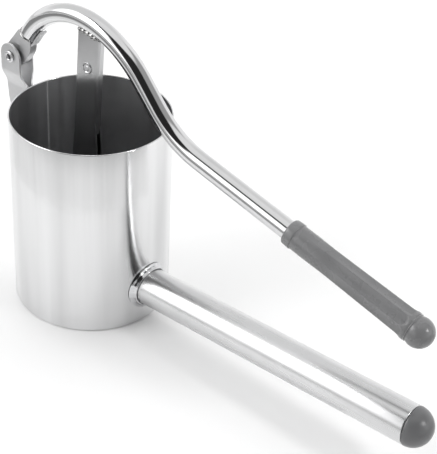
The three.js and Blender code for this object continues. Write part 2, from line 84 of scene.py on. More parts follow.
class Nodes:
    """A small helper that builds one material's node tree."""

    def __init__(self, name):
        self.material = bpy.data.materials.new(name)
        self.material.use_nodes = True
        self.tree = self.material.node_tree
        self.shader = self.tree.nodes["Principled BSDF"]
        self.coordinates = self.add("ShaderNodeTexCoord").outputs["Object"]

    def add(self, kind, **values):
        node = self.tree.nodes.new(kind)
        for key, value in values.items():
            setattr(node, key, value)
        return node

    def link(self, a, b):
        self.tree.links.new(a, b)

    def stretched(self, scale):
        mapping = self.add("ShaderNodeMapping")
        mapping.inputs["Scale"].default_value = scale
        self.link(self.coordinates, mapping.inputs["Vector"])
        return mapping.outputs["Vector"]

    def noise(self, scale, detail=3.0, vector=None, roughness=0.5):
        node = self.add("ShaderNodeTexNoise")
        node.inputs["Scale"].default_value = scale
        node.inputs["Detail"].default_value = detail
        node.inputs["Roughness"].default_value = roughness
        self.link(vector or self.coordinates, node.inputs["Vector"])
        return node.outputs["Fac"]

    def ramp(self, value, low, high, start=0.3, end=0.7):
        node = self.add("ShaderNodeMapRange")
        node.inputs["From Min"].default_value = start
        node.inputs["From Max"].default_value = end
        node.inputs["To Min"].default_value = low
        node.inputs["To Max"].default_value = high
        self.link(value, node.inputs["Value"])
        return node.outputs["Result"]

    def colours(self, value, dark, light, start=0.3, end=0.7):
        node = self.add("ShaderNodeValToRGB")
        node.color_ramp.elements[0].position = start
        node.color_ramp.elements[0].color = (*dark, 1)
        node.color_ramp.elements[1].position = end
        node.color_ramp.elements[1].color = (*light, 1)
        self.link(value, node.inputs["Fac"])
        return node.outputs["Color"]

    def bump(self, value, distance, strength=1.0, below=None):
        node = self.add("ShaderNodeBump")
        node.inputs["Strength"].default_value = strength
        node.inputs["Distance"].default_value = distance
        self.link(value, node.inputs["Height"])
        if below:
            self.link(below, node.inputs["Normal"])
        return node.outputs["Normal"]

    def set(self, **values):
        for key, value in values.items():
            socket = self.shader.inputs[key.replace("_", " ")]
            if isinstance(value, bpy.types.NodeSocket):
                self.link(value, socket)
            else:
                socket.default_value = value


def metal(name, dark, light, rough_low, rough_high, grain, grain_depth=0.000002,
          wave=None, wave_depth=0.00003, specks=0.0, cloud=(55, 55, 55)):
    """Steel: a stretched grain in its gloss, clouds in its colour, and slow waves in the sheet."""
    n = Nodes(name)
    streaks = n.noise(1.0, 4.0, n.stretched(grain), 0.6)
    clouds = n.noise(1.0, 3.0, n.stretched(cloud))
    n.set(Metallic=1.0,
          Base_Color=n.colours(clouds, dark, light, 0.25, 0.75),
          Roughness=n.ramp(streaks, rough_low, rough_high))
    normal = n.bump(streaks, grain_depth)
    if wave:
        normal = n.bump(n.noise(1.0, 1.0, n.stretched(wave)), wave_depth, below=normal)
    if specks:
        normal = n.bump(n.noise(900.0, 2.0), specks, below=normal)
    n.set(Normal=normal)
    return n.material


def moulded(name, dark, light, roughness):
    """Moulded plastic with a fine spark-eroded grain and faint flow clouds."""
    n = Nodes(name)
    clouds = n.noise(70.0, 3.0)
    grain = n.noise(2600.0, 2.0)
    n.set(Metallic=0.0,
          Base_Color=n.colours(clouds, dark, light, 0.3, 0.7),
          Roughness=n.ramp(n.noise(160.0, 2.0), roughness - 0.02, roughness + 0.03),
          Specular_IOR_Level=0.5,
          Normal=n.bump(grain, 0.00004, 0.6))
    return n.material


# Each steel has a dark and a light colour, its least and most roughness, and the stretch of its grain.
POLISHED = metal("polished wall steel", (0.66, 0.662, 0.666), (0.82, 0.822, 0.826), 0.13, 0.19,
                 (900, 900, 9), wave=(26, 26, 3), wave_depth=0.00022, cloud=(75, 75, 3))
INNER = metal("inner wall steel", (0.56, 0.562, 0.57), (0.63, 0.632, 0.64), 0.30, 0.40,
              (500, 500, 6), grain_depth=0.000001, wave=(22, 22, 3), wave_depth=0.0002)
TUBE = metal("polished tube steel", (0.69, 0.692, 0.697), (0.75, 0.752, 0.757), 0.25, 0.33, (12, 700, 700))
NECK = metal("dressed weld steel", (0.62, 0.625, 0.635), (0.70, 0.705, 0.715), 0.12, 0.2, (300, 300, 300))
LEVER = metal("plated lever steel", (0.68, 0.682, 0.687), (0.74, 0.742, 0.747), 0.07, 0.12,
              (60, 300, 60), wave=(22, 60, 22), wave_depth=0.00003)
SHEET = metal("tumbled sheet steel", (0.60, 0.602, 0.608), (0.70, 0.702, 0.708), 0.40, 0.52,
              (260, 260, 260), grain_depth=0.000012, specks=0.00001)
CHANNEL = metal("hanger sheet steel", (0.50, 0.502, 0.507), (0.58, 0.582, 0.587), 0.17, 0.24,
                (500, 500, 16), grain_depth=0.000004)
# A darker copy of the sheet steel for the disc and the plunger, which sit deep in the basket: painted shade.
SHADED_SHEET = metal("plunger sheet steel with painted shade", (0.40, 0.402, 0.41), (0.50, 0.502, 0.51), 0.25, 0.36,
                     (240, 240, 240), grain_depth=0.00001)
WELD = metal("weld steel", (0.27, 0.268, 0.265), (0.56, 0.556, 0.552), 0.14, 0.36,
             (420, 420, 420), grain_depth=0.00006, specks=0.00005)
RIVET = metal("rivet steel", (0.62, 0.62, 0.63), (0.72, 0.72, 0.73), 0.22, 0.32,
              (300, 300, 300), grain_depth=0.000006)
# The seam steel is painted much lighter than the wall steel: a painted highlight along both seam lines.
SEAM = metal("seam steel with painted highlight", (0.80, 0.80, 0.80), (0.90, 0.90, 0.90), 0.45, 0.60, (900, 900, 300))
GRIP = moulded("grip plastic", (0.168, 0.169, 0.172), (0.192, 0.193, 0.196), 0.27)
PLUG = moulded("plug plastic", (0.122, 0.123, 0.126), (0.138, 0.139, 0.143), 0.30)


# ---------------------------------------------------------------- shapes, in millimetres

def fillet(corners, closed=False, steps=5):
    """Corners are (a, b) or (a, b, radius). Returns the outline with its corners rounded."""
    points = []
    count = len(corners)
    for i, corner in enumerate(corners):
        p = Vector(corner[:2])
        radius = corner[2] if len(corner) > 2 else 0
        if not radius or (not closed and i in (0, count - 1)):
            points.append(tuple(p))
            continue
        a = Vector(corners[i - 1][:2]) - p
        b = Vector(corners[(i + 1) % count][:2]) - p
        half = a.angle(b) / 2
        reach = min(radius / math.tan(half), 0.49 * a.length, 0.49 * b.length)
        radius = reach * math.tan(half)
        centre = p + (a.normalized() + b.normalized()).normalized() * radius / math.sin(half)
        first = p + a.normalized() * reach - centre
        last = p + b.normalized() * reach - centre
        start = math.atan2(first.y, first.x)
        sweep = (math.atan2(last.y, last.x) - start + math.pi) % TAU - math.pi
        for k in range(steps + 1):
            turn = start + sweep * k / steps
            points.append((centre.x + radius * math.cos(turn), centre.y + radius * math.sin(turn)))
    return points


def arc(x, z, radius, first, last, steps):
    """Points on an arc between two angles in degrees."""
    turns = [math.radians(first + (last - first) * i / steps) for i in range(steps + 1)]
    return [(x + radius * math.cos(t), z + radius * math.sin(t)) for t in turns]


def loft(rings, looped=False):
    """Skins a row of equal rings. A looped row closes on itself; an open one is capped."""
    count = len(rings[0])
    points = [p for ring in rings for p in ring]
    faces = []
    for i in range(len(rings) if looped else len(rings) - 1):
        a, b = i * count, (i + 1) % len(rings) * count
        faces += [(a + j, a + (j + 1) % count, b + (j + 1) % count, b + j) for j in range(count)]
    if not looped:
        last = (len(rings) - 1) * count
        faces.append(tuple(reversed(range(count))))
        faces.append(tuple(last + j for j in range(count)))
    return points, faces


def lathe(profile, segments, closed=False):
    """Turns a profile of (radius, height) about Z. An open profile starts and ends on the axis."""
    body = profile if closed else profile[1:-1]
    rings = [[(r * math.cos(TAU * j / segments), r * math.sin(TAU * j / segments), h) for j in range(segments)]
             for r, h in body]
    if closed:
        return loft(rings, True)
    points, faces = loft(rings)
    faces = faces[:-2]
    first, last = len(points), (len(rings) - 1) * segments
    points += [(0, 0, profile[0][1]), (0, 0, profile[-1][1])]
    for j in range(segments):
        k = (j + 1) % segments
        faces += [(first, k, j), (first + 1, last + j, last + k)]
    return points, faces


def moved(shape, matrix):
    """The same points and faces, carried over by a matrix."""
    return [tuple(matrix @ Vector(p)) for p in shape[0]], shape[1]


def along_y(shape, x, z):
    """Turns a lathe shape so that its axis runs along Y through (x, z)."""
    return moved(shape, Matrix.Translation((x, 0, z)) @ Matrix.Rotation(-math.pi / 2, 4, "X"))


def along_handle(shape):
    """Turns a lathe shape so that its axis runs along the fixed handle."""
    turn = Matrix.Rotation(math.pi / 2 - HANDLE_RISE, 4, "Y")
    return moved(shape, Matrix.Translation((0, 0, HANDLE_Z)) @ turn)


def mesh_of(shape):
    """Points and faces as a bmesh with its faces turned outwards."""
    bm = bmesh.new()
    made = [bm.verts.new(p) for p in shape[0]]
    for face in shape[1]:
        bm.faces.new([made[i] for i in face])
    bmesh.ops.recalc_face_normals(bm, faces=bm.faces)
    return bm


def bore(radius, x, z):
    """A pin along Y through (x, z), for cutting a hole."""
    return mesh_of(along_y(lathe([(0, -9), (radius, -9), (radius, 9), (0, 9)], 48), x, z))


def signed_area(loop):
    """The area inside a closed outline, negative where its points run clockwise."""
    return sum(a[0] * b[1] - b[0] * a[1] for a, b in zip(loop, loop[1:] + loop[:1])) / 2


def shrunk(loop, distance):
    """Moves each point of a closed outline inwards (or outwards, for a hole) by the distance."""
    if signed_area(loop) < 0:
        distance = -distance
    out = []
    for i, p in enumerate(loop):
        before = (Vector(p) - Vector(loop[i - 1])).normalized()
        after = (Vector(loop[(i + 1) % len(loop)]) - Vector(p)).normalized()
        across = (Vector((-before.y, before.x)) + Vector((-after.y, after.x)))
        length = max(across.length, 0.8)
        out.append(tuple(Vector(p) + across / length * distance * 2 / length))
    return out


def plate(outline, near, far, holes=(), edge=0.15, cuts=()):
    """A flat sheet drawn in X and Z between two values of Y, with rounded edges and holes."""
    bm = bmesh.new()
    steps = 3
    levels = []
    for k in range(steps + 1):
        turn = math.pi / 2 * k / steps
        rise, inset = edge * (1 - math.sin(turn)), edge * (1 - math.cos(turn))
        levels += [(near + rise, inset), (far - rise, inset)]
    levels.sort()
    caps = {0: [], len(levels) - 1: []}
    for loop, sign in [(outline, 1)] + [(hole, -1) for hole in holes]:
        rings = []
        for y, inset in levels:
            ring = shrunk(loop, sign * inset) if inset > 1e-6 else loop
            rings.append([bm.verts.new((x, y, z)) for x, z in ring])
        for a, b in zip(rings, rings[1:]):
            for j in range(len(loop)):
                k = (j + 1) % len(loop)
                bm.faces.new((a[j], a[k], b[k], b[j]))
        for level in caps:
            ring = rings[level]
            for j in range(len(ring)):
                caps[level].append(bm.edges.get((ring[j], ring[(j + 1) % len(ring)])))
    for edges in caps.values():
        bmesh.ops.triangle_fill(bm, edges=edges, use_beauty=True)
    bmesh.ops.recalc_face_normals(bm, faces=bm.faces)
    for z in cuts:
        everything = bm.verts[:] + bm.edges[:] + bm.faces[:]
        bmesh.ops.bisect_plane(bm, geom=everything, plane_co=(0, 0, z), plane_no=(0, 0, 1))
    return bm


def bar(outline, half, radius=0.0, fold=(0, 0)):
    """A solid drawn in X and Z. The long edges of the outline's fold stretch are rounded by the radius."""
    bm = bmesh.new()
    rings = [[bm.verts.new((x, y, z)) for x, z in outline] for y in (-half, half)]
    bm.faces.new(rings[0])
    bm.faces.new(rings[1][::-1])
    for j in range(len(outline)):
        k = (j + 1) % len(outline)
        bm.faces.new((rings[0][j], rings[1][j], rings[1][k], rings[0][k]))
    if radius:
        edges = [bm.edges.get((ring[j], ring[j + 1])) for ring in rings for j in range(*fold)]
        bmesh.ops.bevel(bm, geom=edges, offset=radius, offset_type="OFFSET", segments=5, profile=0.5,
                        affect="EDGES", clamp_overlap=True)
    bmesh.ops.recalc_face_normals(bm, faces=bm.faces)
    return bm


def scratch_object(bm):
    """Hands a bmesh over to an object of its own, for the modifiers."""
    mesh = bpy.data.meshes.new("scratch")
    bm.to_mesh(mesh)
    bm.free()
    obj = bpy.data.objects.new("scratch", mesh)
    bpy.context.collection.objects.link(obj)
    return obj


def carved(base, steps, edge=0.12):
    """Adds and cuts solids one by one, then rounds the sharp edges. Takes and returns a bmesh."""
    target = scratch_object(base)
    helpers = []
    for operation, tool in steps:
        cutter = scratch_object(tool)
        helpers.append(cutter)
        modifier = target.modifiers.new("cut", "BOOLEAN")
        modifier.operation = operation
        modifier.solver = "EXACT"
        modifier.object = cutter
    if edge:
        modifier = target.modifiers.new("edge", "BEVEL")
        modifier.width = edge
        modifier.segments = 2
        modifier.limit_method = "ANGLE"
        modifier.angle_limit = math.radians(48)
        modifier.use_clamp_overlap = True
    bpy.context.view_layer.update()
    seen = target.evaluated_get(bpy.context.evaluated_depsgraph_get())
    bm = bmesh.new()
    bm.from_mesh(seen.to_mesh())
    seen.to_mesh_clear()
    for obj in [target, *helpers]:
        mesh = obj.data
        bpy.data.objects.remove(obj)
        bpy.data.meshes.remove(mesh)
    return bm


def piece(name, source, material, body, nodes=(), sharp=38, weighted=False):
    """Turns a shape or a bmesh in millimetres into a finished piece in the frame."""
    bm = mesh_of(source) if isinstance(source, tuple) else source
    bmesh.ops.transform(bm, matrix=Matrix.Translation(AXIS) @ Matrix.Scale(MM, 4), verts=bm.verts)
    mesh = bpy.data.meshes.new(name)
    bm.to_mesh(mesh)
    bm.free()
    for polygon in mesh.polygons:
        polygon.use_smooth = True
    mesh.set_sharp_from_angle(angle=math.radians(sharp))
    mesh.materials.append(material)
    obj = bpy.data.objects.new(name, mesh)
    bpy.context.collection.objects.link(obj)
    if weighted:
        modifier = obj.modifiers.new("flat faces", "WEIGHTED_NORMAL")
        modifier.keep_sharp = True
    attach(obj, body)
    if nodes:
        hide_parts(*nodes)
    return obj


# ---------------------------------------------------------------- the lever's centreline

def walk(station, length, radius):
    """The station (x, z, heading) that lies a length further on along a bend."""
    x, z, heading = station
    if math.isinf(radius):
        return x + length * math.cos(heading), z + length * math.sin(heading), heading
    ahead = heading + length / radius
    return (x + radius * (math.sin(ahead) - math.sin(heading)),
            z - radius * (math.cos(ahead) - math.cos(heading)), ahead)


def lever_at(distance):
    """The station at a distance along the lever. Past the last bend it runs straight."""
    station = LEVER_START
    for length, radius in LEVER_BENDS:
        station = walk(station, min(distance, length), radius)
        distance -= length
        if distance <= 0:
            return station
    return walk(station, distance, math.inf)


BENT_LENGTH = sum(length for length, radius in LEVER_BENDS)
BEND_END = lever_at(BENT_LENGTH)


def lever_distance(x):
    """How far along the lever its straight end reaches x."""
    return BENT_LENGTH + (x - BEND_END[0]) / math.cos(BEND_END[2])


def ring_at(station, radius_at, count):
    """A ring square to the lever. The radius is a function of the angle round it."""
    x, z, heading = station
    ring = []
    for j in range(count):
        turn = TAU * j / count
        radius = radius_at(turn)
        out = radius * math.sin(turn)
        ring.append((x - out * math.sin(heading), radius * math.cos(turn), z + out * math.cos(heading)))
    return ring


def lever_tube(first, last, radius, step, count):
    """Rings about a stretch of the lever, roughly a step apart."""
    steps = max(2, round((last - first) / step))
    return [ring_at(lever_at(first + (last - first) * i / steps), lambda t: radius, count)
            for i in range(steps + 1)]


# ---------------------------------------------------------------- basket, disc and seam

def basket():
    """The rolled wall with its lip. It is duller inside, up to the rounded rim."""
    profile = fillet([(LIP_RADIUS, 0.0, 0.2), (WALL_OUT, 0.0, 0.9), (WALL_OUT, HEIGHT, 0.38),
                      (WALL_IN, HEIGHT, 0.38), (WALL_IN, LIP_SHEET, 0.5), (LIP_RADIUS, LIP_SHEET, 0.2)],
                     closed=True, steps=6)
    obj = piece("basket_shell", lathe(profile, 224, closed=True), POLISHED, "basket",
                ["basket_cylinder"])
    obj.data.materials.append(INNER)
    middle = (WALL_OUT + WALL_IN) / 2 * MM
    for polygon in obj.data.polygons:
        out = polygon.center - AXIS
        if math.hypot(out.x, out.y) < middle and out.z < (HEIGHT - 0.3) * MM:
            polygon.material_index = 1


def wall_seam():
    """The sheet's butt weld: a thin raised line on the inside of the wall, and its flush root outside."""
    out = Vector((math.cos(SEAM_AZIMUTH), math.sin(SEAM_AZIMUTH), 0))
    side = Vector((-out.y, out.x, 0))
    draws = random.Random(5)
    steps, start = 110, 1.2
    lines = (("inner", WALL_IN + 0.02, -0.22, 0.42), ("outer", WALL_OUT - 0.06, 0.05, 0.35))
    for name, radius, height, width in lines:
        rings = []
        for i in range(steps + 1):
            z = start + (HEIGHT - 2.0) * i / steps
            half = width * (1 + 0.25 * draws.uniform(-1, 1))
            rise = height * (1 + 0.3 * draws.uniform(-1, 1))
            ring = []
            for k in range(7):
                turn = math.pi * k / 6
                ring.append(tuple(out * (radius + rise * math.sin(turn)) + side * half * math.cos(turn)
                                  + Vector((0, 0, z))))
            rings.append(ring)
        # Both lines take the lighter seam steel, a painted highlight.
        piece("wall_seam_" + name, loft(rings), SEAM, "basket")


def disc():
    """The loose disc, with its rows of small punched holes."""
    pitch, rows, hole_radius = 6.8, 5, 1.75
    outline = arc(0, 0, DISC_RADIUS, 0, 360, 160)[:-1]
    holes = []
    for row in range(-rows, rows + 1):
        in_row = 2 * rows + 1 - abs(row)
        for i in range(in_row):
            x = (i - (in_row - 1) / 2) * pitch
            holes.append(arc(x, row * pitch * math.sin(math.pi / 3), hole_radius, 0, 360, 18)[:-1])
    bm = plate(outline, DISC_BOTTOM, DISC_TOP, holes, edge=0.16)
    lay_flat = Matrix(((1, 0, 0, 0), (0, 0, 1, 0), (0, 1, 0, 0), (0, 0, 0, 1)))
    bmesh.ops.transform(bm, matrix=lay_flat, verts=bm.verts)
    bmesh.ops.recalc_face_normals(bm, faces=bm.faces)
    piece("pressing_disc", bm, SHADED_SHEET, "basket", ["perforated_disc"], weighted=True)


# ---------------------------------------------------------------- fixed handle

def saddle_ring(radius, out, count):
    """A ring round the handle's axis that lies a given distance out from the cylinder."""
    ring = []
    for j in range(count):
        turn = TAU * j / count
        y, up = radius * math.cos(turn), radius * math.sin(turn)
        x = math.sqrt((WALL_OUT + out) ** 2 - y * y)
        ring.append((x, y, HANDLE_Z + x * math.tan(HANDLE_RISE) + up / math.cos(HANDLE_RISE)))
    return ring


def handle_ring(radius, distance, count):
    """A ring square to the handle's axis, at a distance along it."""
    ring = []
    for j in range(count):
        turn = TAU * j / count
        y, up = radius * math.cos(turn), radius * math.sin(turn)
        ring.append((distance * math.cos(HANDLE_RISE) - up * math.sin(HANDLE_RISE), y,
                     HANDLE_Z + distance * math.sin(HANDLE_RISE) + up * math.cos(HANDLE_RISE)))
    return ring


def handle():
    """The tube, saddle-cut at the wall, the neck that joins it to the wall, and the plug in its end."""
    count = 112
    inside = HANDLE_RADIUS - HANDLE_SHEET
    gap, edge = 0.35, 0.5
    rings = [saddle_ring(HANDLE_RADIUS, gap, count)]
    rings += [handle_ring(HANDLE_RADIUS, s, count) for s in (50, 90, 130, 170, HANDLE_SEAM - edge)]
    for turn in (30, 60, 90):
        t = math.radians(turn)
        radius = HANDLE_RADIUS - edge * (1 - math.cos(t))
        rings.append(handle_ring(radius, HANDLE_SEAM - edge * (1 - math.sin(t)), count))
    rings += [handle_ring(inside, HANDLE_SEAM, count), handle_ring(inside, 52, count)]
    rings.append(saddle_ring(inside, gap, count))
    piece("handle_pipe", loft(rings, looped=True), TUBE, "basket", ["handle_tube"])

    # The neck: a dressed weld, a little uneven, that runs off the wall onto the tube.
    section = fillet([(10.62, 0.32), (13.2, 0.32), (12.75, 0.75, 0.6), (12.05, 1.2, 1.2), (11.5, 2.0, 1.2),
                      (11.25, 2.9, 0.5), (10.62, 2.95, 0.3)], closed=True, steps=4)
    draws = random.Random(11)
    wobble = [(draws.uniform(0, TAU), draws.uniform(0.03, 0.1), k) for k in (2, 3, 5, 8, 13, 21)]
    rings = []
    for radius, out in section:
        ring = []
        outer = min(1.0, max(0.0, radius - 10.7))
        for j, p in enumerate(saddle_ring(radius, out, count)):
            turn = TAU * j / count
            swell = outer * sum(a * math.sin(k * turn + phase) for phase, a, k in wobble) * min(1.0, out)
            centre = Vector((p[0], 0, HANDLE_Z + p[0] * math.tan(HANDLE_RISE)))
            away = (Vector(p) - centre).normalized()
            ring.append(tuple(Vector(p) + away * swell + Vector((swell * 0.6, 0, 0))))
        rings.append(ring)
    piece("handle_neck", loft(rings, looped=True), NECK, "basket", ["handle_collar"],
          sharp=60)

    shoulder = HANDLE_SEAM + 0.25
    turns = [math.radians(t) for t in range(4, 90, 4)]
    dome = [(HANDLE_RADIUS * math.cos(t), PLUG_CENTRE + HANDLE_RADIUS * math.sin(t)) for t in turns]
    profile = [(0, 198), (8.1, 198), (8.6, 198.5), (8.7, 199.1), (8.7, shoulder), (9.85, shoulder),
               (HANDLE_RADIUS - 0.08, shoulder + 0.12), (HANDLE_RADIUS, shoulder + 0.35), *dome,
               (0, PLUG_CENTRE + HANDLE_RADIUS)]
    piece("end_plug", along_handle(lathe(profile, 96)), PLUG, "basket", ["handle_end_plug"])


# ---------------------------------------------------------------- clevis

def leaf(side):
    """One joggled strip: its ears stand apart for the lever, and its stem meets its twin's."""
    head, sheet, gap, joggle = 7.2, 1.2, 0.15, 3.6
    wall = -(WALL_OUT + 0.25)
    outline = arc(PIVOT[0], PIVOT[1], head, 0, 180, 36)
    outline += fillet([(PIVOT[0] - head, 120), (PIVOT[0] - head, 104, 8), (-62.0, 96, 8), (-60.2, 87.5, 10),
                       (-56.9, 78, 10), (-52.5, 69.5, 10), (-47.6, 63, 6), (wall - 0.5, 60, 1), (wall, 60)])[1:]
    outline += fillet([(wall, 80), (wall, 104.9, 1.2), (-45.0, 106.2, 3), (-47.2, 109.2, 3), (-48.2, 113.5, 4),
                       (PIVOT[0] + head, 118)])[1:]
    hole = arc(PIVOT[0], PIVOT[1], PIVOT_HOLE, 0, 360, 40)[:-1]
    bottom, top, steps = 104.4, 115.2, 18
    cuts = [bottom + (top - bottom) * i / steps for i in range(steps + 1)]
    bm = plate(outline, gap, gap + sheet, [hole], edge=0.22, cuts=cuts)
    for v in bm.verts:
        part = min(1.0, max(0.0, (v.co.z - bottom) / (top - bottom)))
        v.co.y = side * (v.co.y + joggle * (1 - math.cos(math.pi * part)) / 2)
    bmesh.ops.recalc_face_normals(bm, faces=bm.faces)
    return bm


def bead(stations, radius, count, seed, ripple, pitch):
    """A weld bead: overlapping drops along (x, y, z, heading) stations, each a little different."""
    draws = random.Random(seed)
    jitter = [draws.uniform(0.8, 1.2) for i in range(len(stations))]
    rings = []
    total = len(stations) - 1
    for i, (x, y, z, heading) in enumerate(stations):
        drop = i % pitch / pitch
        crest = math.sqrt(max(0.0, 1 - (2 * drop - 0.9) ** 2 * 0.9))
        ends = min(1.0, math.sqrt(max(0.02, min(i, total - i) / (pitch * 0.8))))
        size = radius * (1 - ripple + ripple * crest * jitter[i // pitch]) * ends
        ring = []
        for j in range(count):
            turn = TAU * j / count
            out = size * math.sin(turn)
            ring.append((x - out * math.sin(heading), y + size * math.cos(turn), z + out * math.cos(heading)))
        rings.append(ring)
    return loft(rings)


def clevis():
    """The two strips, the beads that hold their stems to the wall, and the rivet through their ears."""
    foot, length, steps = 62, 40.5, 120
    for side, name in ((-1, "near"), (1, "far")):
        piece("hinge_strip_" + name, leaf(side), SHEET, "basket", ["clevis_leaf_" + name],
              weighted=True)
        heights = [foot + length * i / steps for i in range(steps + 1)]
        stations = [(-(WALL_OUT + 1.15), side * 2.55, z, math.pi / 2) for z in heights]
        drops = bead(stations, radius=1.15, count=14, seed=21 + side, ripple=0.3, pitch=6)
        piece("hinge_bead_" + name, drops, WELD, "basket", ["clevis_weld_" + name], sharp=80)
    head = 5.2
    half = fillet([(2.2, 0), (2.2, head), (3.35, head, 0.2), (3.2, head + 0.55, 0.5), (2.3, head + 0.95, 0.5),
                   (1.55, head + 0.7, 0.5), (1.3, head - 0.6, 0.6), (1.3, 0)], steps=5)
    profile = half + [(r, -h) for r, h in reversed(half)][1:-1]
    piece("hinge_rivet", along_y(lathe(profile, 72, closed=True), *PIVOT), RIVET, "basket",
          ["pivot_rivet"])


# ---------------------------------------------------------------- lever bracket

def under_tube(first, last, near, far, steps):
    """The two edges, near and far from the lever's centreline, of a strip that follows it below."""
    inner, outer = [], []
    for i in range(steps + 1):
        x, z, heading = lever_at(first + (last - first) * i / steps)
        inner.append((x + near * math.sin(heading), z - near * math.cos(heading)))
        outer.append((x + far * math.sin(heading), z - far * math.cos(heading)))
    return inner, outer


def bracket():
    """The folded fork with its tongue under the lever, the bush on the rivet, and the fork's bead."""
    cheek, inside, end = 2.3, 1.2, 6.6
    back = [(-49.3, 119.9), (-47.5, 121.9), (-45.8, 124.2), (-44.2, 126.6), (-42.9, 128.9), (-42.35, 131.3),
            (-42.0, 133.8), (-42.1, 135.5)]
    round_end = arc(PIVOT[0], PIVOT[1], end, 143, 307, 40)
    outline = round_end + back + [(-50.8, 139.9)]
    body = bar(outline, cheek, 0.95, (len(round_end) - 1, len(round_end) + len(back) - 1))
    hollow = [(-56.5, 115.4), (-50.2, 120.5), (-48.4, 122.6), (-46.7, 124.8), (-45.1, 127.2), (-43.9, 129.3),
              (-43.45, 131.4), (-43.1, 133.8), (-43.3, 135.6), (-43.9, 141), (-75, 141), (-75, 115.4)]
    cavity = bar(hollow, inside, 0.35, (0, 9))
    inner, outer = under_tube(0.6, 12, LEVER_RADIUS + 0.25, LEVER_RADIUS + 1.4, 12)
    outline = [(-43.4, 132.7), (-42.8, 132.1), *outer, *inner[::-1]]
    tongue = plate(outline, -2.1, 2.1, edge=0.15)
    cuts = [("DIFFERENCE", cavity), ("UNION", tongue), ("DIFFERENCE", bore(PIVOT_HOLE, *PIVOT))]
    bm = carved(body, cuts, edge=0.14)
    piece("lever_fork", bm, SHEET, "lever", ["lever_bracket"], weighted=True)

    half = inside - 0.25
    profile = fillet([(PIVOT_HOLE, -half, 0.1), (3.3, -half, 0.2), (3.3, half, 0.2), (PIVOT_HOLE, half, 0.1)],
                     closed=True)
    piece("hinge_bush", along_y(lathe(profile, 56, closed=True), *PIVOT), RIVET, "lever",
          ["pivot_bush"])

    # The bead round the tube's end, open where the tongue runs.
    x, z, heading = lever_at(1.2)
    steps, pitch, count = 104, 7, 12
    rings = []
    draws = random.Random(8)
    for i in range(steps + 1):
        turn = math.radians(-56 + 292 * i / steps)
        drop = i % pitch / pitch
        ends = min(1.0, math.sqrt(max(0.03, min(i, steps - i) / 5)))
        crest = math.sqrt(max(0.0, 1 - (2 * drop - 0.9) ** 2 * 0.9))
        size = ends * (0.42 + 0.07 * crest + draws.uniform(-0.01, 0.01))
        ring = []
        for j in range(count):
            around = TAU * j / count
            radius = LEVER_RADIUS + 0.12 + size * math.cos(around)
            across = size * 1.15 * math.sin(around)
            out = radius * math.sin(turn)
            ring.append((x - out * math.sin(heading) + across * math.cos(heading),
                         radius * math.cos(turn),
                         z + out * math.cos(heading) + across * math.sin(heading)))
        rings.append(ring)
    piece("fork_bead", loft(rings), WELD, "lever", ["lever_bracket_weld"], sharp=80)


# ---------------------------------------------------------------- lever tube and grip

def lever():
    """The bent tube, open at both ends. Its far end is inside the grip."""
    count = 72
    end = lever_distance(LEVER_END_X)
    outer = lever_tube(0.7, BENT_LENGTH, LEVER_RADIUS, 1.2, count)
    for distance in (BENT_LENGTH + 30, BENT_LENGTH + 70, end):
        outer.append(ring_at(lever_at(distance), lambda t: LEVER_RADIUS, count))
    inner = lever_tube(0.7, BENT_LENGTH, LEVER_RADIUS - LEVER_SHEET, 3.0, count)
    inner.append(ring_at(lever_at(end), lambda t: LEVER_RADIUS - LEVER_SHEET, count))
    tube = loft(outer + inner[::-1], looped=True)
    piece("lever_pipe", tube, LEVER, "lever", ["lever_tube"])


def smooth(value):
    """An even rise from 0 to 1."""
    value = min(1.0, max(0.0, value))
    return value * value * (3 - 2 * value)


def grip():
    """One moulding: a stepped collar, eight long flutes with rounded ends, a ring and a ball end."""
    count = 168
    flute = TAU / FLUTE_COUNT

    def section(x, radius, depth):
        """The radius round the grip at x. Each flute is shallow at its sides and fades at its end."""
        def radius_at(turn):
            across = ((turn - math.pi / 2) / flute + 0.5) % 1.0 * 2 - 1
            arch = 1 - math.sqrt(max(0.0, 1 - min(1.0, abs(across) * 1.08) ** 2))
            fade = smooth((FLUTE_END - x - 1.9 * arch) / 0.9)
            return radius - depth * fade * (1 - abs(across) ** 2.2)
        return radius_at

    collar = [(GRIP_START, 5.95), (130.15, 6.25), (130.5, 6.5), (131.1, 6.62), (134.2, 6.82), (134.55, 6.78),
              (134.75, 6.6), (134.85, 6.42), (135.2, 6.36)]
    ring_and_neck = [(199.1, 7.34), (200.2, 7.36), (200.45, 7.3), (200.6, 7.16), (200.8, 7.12), (200.95, 7.2),
                     (201.15, 7.3)]
    stations = [(x, radius, 0.0) for x, radius in collar]
    x = 135.8
    while x < 198.9:
        grow = (x - 135.2) / 64
        stations.append((x, 6.36 + 0.98 * grow ** 0.85, 0.85 * smooth((x - 137) / 30)))
        x += 1.6 if x < 192 else 0.22
    stations += [(x, radius, 0.0) for x, radius in ring_and_neck]
    rings = [ring_at(lever_at(lever_distance(x)), lambda t: GRIP_BORE, count)
             for x in (LEVER_END_X + 0.4, GRIP_START)]
    for x, radius, depth in stations:
        rings.append(ring_at(lever_at(lever_distance(x)), section(x, radius, depth), count))
    centre = lever_distance(GRIP_DOME_X)
    for i in range(25):
        rise = math.radians(-22 + 110.5 * i / 24)
        reach = GRIP_DOME_R * math.cos(rise)
        rings.append(ring_at(lever_at(centre + GRIP_DOME_R * math.sin(rise)), lambda t: reach, count))
    piece("grip_moulding", loft(rings), GRIP, "lever", ["lever_grip"], sharp=50)


# ---------------------------------------------------------------- hanger

def hanger_x(z):
    """The x of the hanger's middle line at a height. It leans a little."""
    return HANGER_FOOT[0] + HANGER_LEAN * (z - HANGER_FOOT[1])


